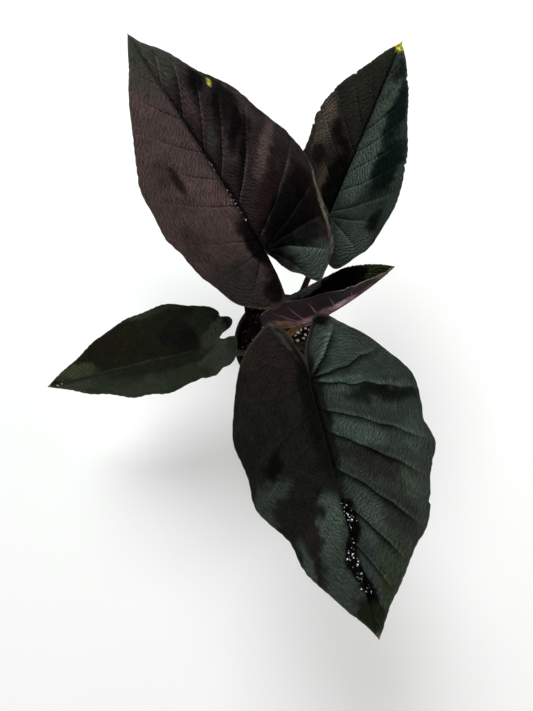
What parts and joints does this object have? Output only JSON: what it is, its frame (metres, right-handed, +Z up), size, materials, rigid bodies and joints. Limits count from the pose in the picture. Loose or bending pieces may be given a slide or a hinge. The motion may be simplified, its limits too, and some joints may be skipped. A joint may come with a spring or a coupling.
{
  "type": "potted velvet alocasia",
  "caption": "Small black nursery pot of dark soil with a velvet-leaved alocasia: arrow-shaped near-black leaves with a purple underside, on bent stalks from one crown.",
  "frame": {"origin": "middle of the pot's base, on the surface that it stands on", "axes": "+Z up, +Y towards the two tall back leaves, -Y towards the largest leaf in front, +X towards the young folded leaf; the longest extent lies along Y"},
  "size_m": [0.251, 0.374, 0.2097],
  "materials": {
    "pot_plastic": "matt black, injection moulded",
    "potting_soil": "damp dark peat and bark with cream-white perlite grains",
    "root_stock": "rough brown skin",
    "stalk_skin": "smooth, olive-tan to pinkish brown",
    "leaf_blade": "near-black green velvet above, purple below, with sunken veins"
  },
  "bodies": {
    "root": {"pot": "pot_plastic", "soil": "potting_soil", "crown": "root_stock", "stalk_back_left": "stalk_skin", "stalk_back_right": "stalk_skin", "stalk_young": "stalk_skin", "stalk_low_left": "stalk_skin", "stalk_front": "stalk_skin", "blade_back_left": "leaf_blade", "blade_back_right": "leaf_blade", "blade_young": "leaf_blade", "blade_low_left": "leaf_blade", "blade_front": "leaf_blade"}
  },
  "joints": []
}
